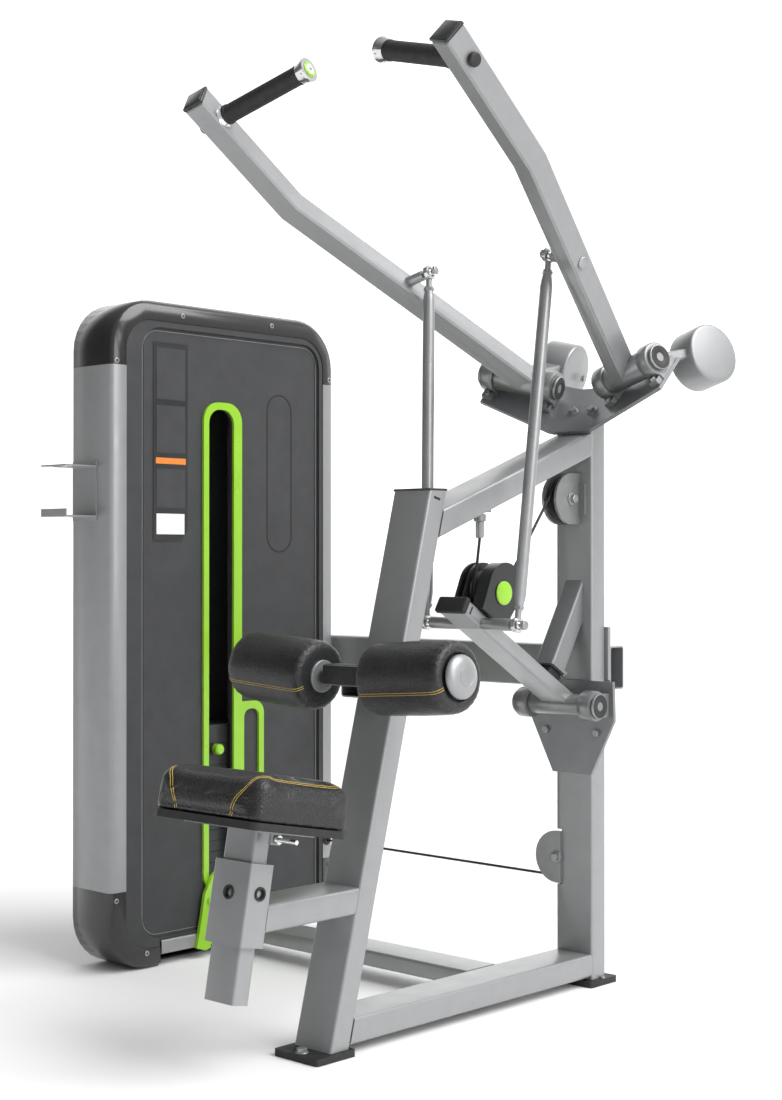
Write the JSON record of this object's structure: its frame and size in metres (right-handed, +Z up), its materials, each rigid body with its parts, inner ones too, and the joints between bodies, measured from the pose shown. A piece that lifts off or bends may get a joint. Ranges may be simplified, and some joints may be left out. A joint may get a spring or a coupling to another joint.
{
  "type": "lat pulldown machine",
  "caption": "Lat pulldown machine with converging overhead arms, a padded seat, thigh rollers and a shrouded weight tower.",
  "frame": {"origin": "middle of the bounding box's underside, on the floor", "axes": "+Z up; the user sits facing +Y; the weight tower stands on the -X side"},
  "size_m": [1.3153, 1.3736, 1.9302],
  "materials": {
    "silver_paint": "satin metallic",
    "gray_paint": "satin",
    "bright_steel": "polished",
    "black_iron": "painted black",
    "black_paint": "satin",
    "black_nylon": "moulded",
    "black_rubber": "matte",
    "black_leather": "grained",
    "black_shell": "satin gloss",
    "panel_gray": "fine grain",
    "lime_plastic": "gloss"
  },
  "bodies": {
    "frame": {"front_post": "silver_paint", "rear_post": "silver_paint", "upper_beam": "silver_paint", "base_beam": "silver_paint", "lower_cross_tube": "silver_paint", "upper_cross_tube": "silver_paint", "front_foot": "black_rubber", "rear_foot": "black_rubber", "seat_support": "silver_paint", "roller_bracket": "gray_paint", "arm_bracket": "gray_paint", "right_inner_bearing": "gray_paint", "left_inner_bearing": "gray_paint", "right_outer_bearing": "gray_paint", "left_outer_bearing": "gray_paint", "lever_mount": "gray_paint", "stop_strut": "silver_paint", "upper_guard": "gray_paint", "lower_guard": "gray_paint", "lever_cable": "black_nylon", "long_cable": "black_nylon", "stack_cable": "black_nylon", "tower_base": "silver_paint", "cable_anchor": "bright_steel", "resting_plates": "black_iron", "guide_frame": "bright_steel", "tower_top_cover": "black_shell", "tower_bottom_cover": "black_shell", "tower_front_post": "silver_paint", "tower_rear_post": "silver_paint", "tower_right_shell": "panel_gray", "tower_left_shell": "panel_gray", "slot_trim": "lime_plastic", "bottle_holder": "silver_paint"},
    "right_arm": {"right_arm": "silver_paint", "right_grip": "black_rubber", "right_counterweight": "gray_paint"},
    "left_arm": {"left_arm": "silver_paint", "left_grip": "black_rubber", "left_counterweight": "gray_paint"},
    "right_tie_rod": {"right_tie_rod": "gray_paint"},
    "left_tie_rod": {"left_tie_rod": "gray_paint"},
    "lever": {"lever": "silver_paint", "lever_guard": "black_paint"},
    "lever_sheave": {"lever_sheave": "black_nylon"},
    "upper_sheave": {"upper_sheave": "black_nylon"},
    "lower_sheave": {"lower_sheave": "black_nylon"},
    "tower_foot_sheave": {"tower_foot_sheave": "black_nylon"},
    "tower_rear_sheave": {"tower_rear_sheave": "black_nylon"},
    "tower_front_sheave": {"tower_front_sheave": "black_nylon"},
    "stack": {"lifted_plates": "black_iron"},
    "selector_pin": {"selector_pin": "lime_plastic"},
    "increment_lever": {"increment_lever": "lime_plastic"},
    "seat": {"seat_post": "silver_paint", "seat_cushion": "black_leather"},
    "seat_release": {"seat_release": "bright_steel"},
    "right_roller": {"right_roller_hub": "bright_steel", "right_roller_pad": "black_leather"},
    "left_roller": {"left_roller_hub": "bright_steel", "left_roller_pad": "black_leather"}
  },
  "joints": [
    {"name": "right_arm_pivot", "type": "hinge", "parent": "frame", "child": "right_arm", "pos_m": [0.3457, 0.423, 1.327], "axis": [0.9483, -0.2219, 0.227], "range_deg": [0, 45]},
    {"name": "left_arm_pivot", "type": "hinge", "parent": "frame", "child": "left_arm", "pos_m": [0.2297, 0.423, 1.327], "axis": [0.9483, 0.2219, -0.227], "range_deg": [0, 45]},
    {"name": "lever_pivot", "type": "hinge", "parent": "frame", "child": "lever", "pos_m": [0.2877, 0.346, 0.623], "axis": [1, 0, 0], "range_deg": [0, 43.5], "deforming": ["lever_cable"]},
    {"name": "right_tie_rod_hinge", "type": "hinge", "parent": "lever", "child": "right_tie_rod", "pos_m": [0.4117, 0.04857, 0.80755], "axis": [0.9871, -0.0192, 0.159], "range_deg": [-43, 0]},
    {"name": "left_tie_rod_hinge", "type": "hinge", "parent": "lever", "child": "left_tie_rod", "pos_m": [0.1637, 0.04857, 0.80755], "axis": [0.9871, 0.0192, -0.159], "range_deg": [-43, 0]},
    {"name": "lever_sheave_spin", "type": "hinge", "parent": "lever", "child": "lever_sheave", "pos_m": [0.2877, 0.099, 0.873], "axis": [1, 0, 0], "range_deg": [-320, 0]},
    {"name": "upper_sheave_spin", "type": "hinge", "parent": "frame", "child": "upper_sheave", "pos_m": [0.2877, 0.367, 1.075], "axis": [1, 0, 0], "range_deg": [0, 650]},
    {"name": "lower_sheave_spin", "type": "hinge", "parent": "frame", "child": "lower_sheave", "pos_m": [0.2427, 0.412, 0.276], "axis": [0, 1, 0], "range_deg": [-650, 0]},
    {"name": "tower_foot_sheave_spin", "type": "hinge", "parent": "frame", "child": "tower_foot_sheave", "pos_m": [-0.5553, 0.412, 0.266], "axis": [0, 1, 0], "range_deg": [-835, 0]},
    {"name": "tower_rear_sheave_spin", "type": "hinge", "parent": "frame", "child": "tower_rear_sheave", "pos_m": [-0.5903, 0.367, 1.452], "axis": [1, 0, 0], "range_deg": [-650, 0]},
    {"name": "tower_front_sheave_spin", "type": "hinge", "parent": "frame", "child": "tower_front_sheave", "pos_m": [-0.5903, 0.1055, 1.452], "axis": [1, 0, 0], "range_deg": [-650, 0]},
    {"name": "stack_lift", "type": "slide", "parent": "frame", "child": "stack", "axis": [0, 0, 1], "range_m": [0, 0.51], "deforming": ["stack_cable"]},
    {"name": "selector_pin_pull", "type": "slide", "parent": "stack", "child": "selector_pin", "axis": [1, 0, 0], "range_m": [0, 0.07]},
    {"name": "seat_height", "type": "slide", "parent": "frame", "child": "seat", "axis": [0, 0.1822, 0.9833], "range_m": [-0.05, 0.08]},
    {"name": "seat_release_pull", "type": "slide", "parent": "seat", "child": "seat_release", "axis": [1, 0, 0], "range_m": [0, 0.012], "stiffness_N_per_m": 500},
    {"name": "right_roller_spin", "type": "hinge", "parent": "frame", "child": "right_roller", "pos_m": [0.2877, -0.313, 0.707], "axis": [0.9977, 0, 0.068], "continuous": true},
    {"name": "left_roller_spin", "type": "hinge", "parent": "frame", "child": "left_roller", "pos_m": [0.2877, -0.313, 0.707], "axis": [0.9977, 0, -0.068], "continuous": true},
    {"name": "increment_lever_swing", "type": "hinge", "parent": "frame", "child": "increment_lever", "pos_m": [-0.5073, 0.016, 0.133], "axis": [1, 0, 0], "range_deg": [-20, 20]}
  ],
  "couplings": [
    {"joint": "left_arm_pivot", "follows": "right_arm_pivot", "ratio": 1},
    {"joint": "lever_pivot", "follows": "right_arm_pivot", "ratio": 0.95006},
    {"joint": "right_tie_rod_hinge", "follows": "right_arm_pivot", "ratio": -0.94434},
    {"joint": "left_tie_rod_hinge", "follows": "right_arm_pivot", "ratio": -0.94434},
    {"joint": "lever_sheave_spin", "follows": "right_arm_pivot", "ratio": -6.93},
    {"joint": "upper_sheave_spin", "follows": "right_arm_pivot", "ratio": 14.26},
    {"joint": "lower_sheave_spin", "follows": "right_arm_pivot", "ratio": -14.26},
    {"joint": "tower_foot_sheave_spin", "follows": "right_arm_pivot", "ratio": -18.33},
    {"joint": "tower_rear_sheave_spin", "follows": "right_arm_pivot", "ratio": -14.26},
    {"joint": "tower_front_sheave_spin", "follows": "right_arm_pivot", "ratio": -14.26},
    {"joint": "stack_lift", "follows": "right_arm_pivot", "m_per_rad": 0.6417}
  ]
}
